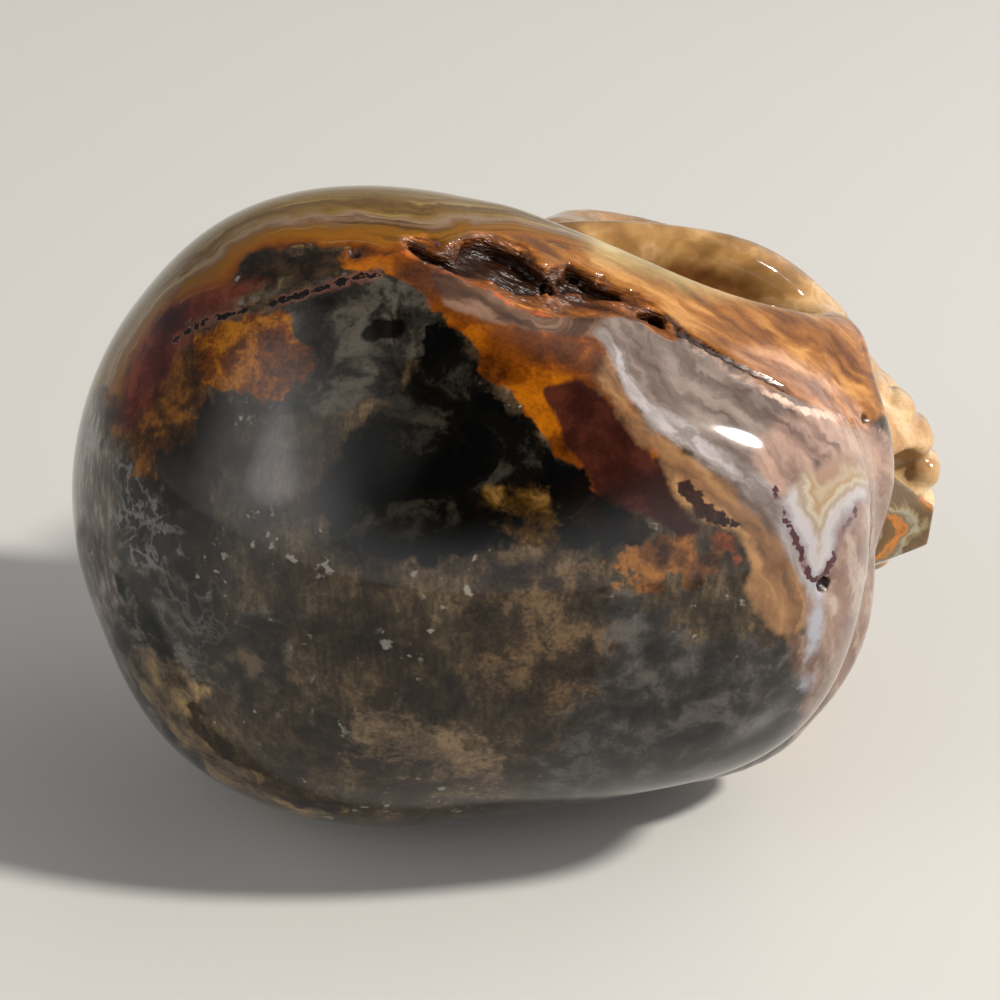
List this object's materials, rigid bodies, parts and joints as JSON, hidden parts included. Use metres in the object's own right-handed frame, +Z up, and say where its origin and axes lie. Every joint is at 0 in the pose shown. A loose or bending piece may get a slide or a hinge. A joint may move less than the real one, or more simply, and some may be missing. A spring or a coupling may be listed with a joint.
{
  "type": "carved stone skull",
  "caption": "Skull carved and polished from one banded agate stone, lying on its right side, with eye sockets, nose, teeth and jaw.",
  "frame": {"origin": "middle of the bounding box at its base, on the surface that the skull lies on", "axes": "+X the way the face looks, -Y the way the crown points, +Z up from the table, towards the skull's left side"},
  "size_m": [0.106, 0.0846, 0.0748],
  "materials": {
    "agate": null
  },
  "bodies": {
    "root": {"skull": "agate"}
  },
  "joints": []
}
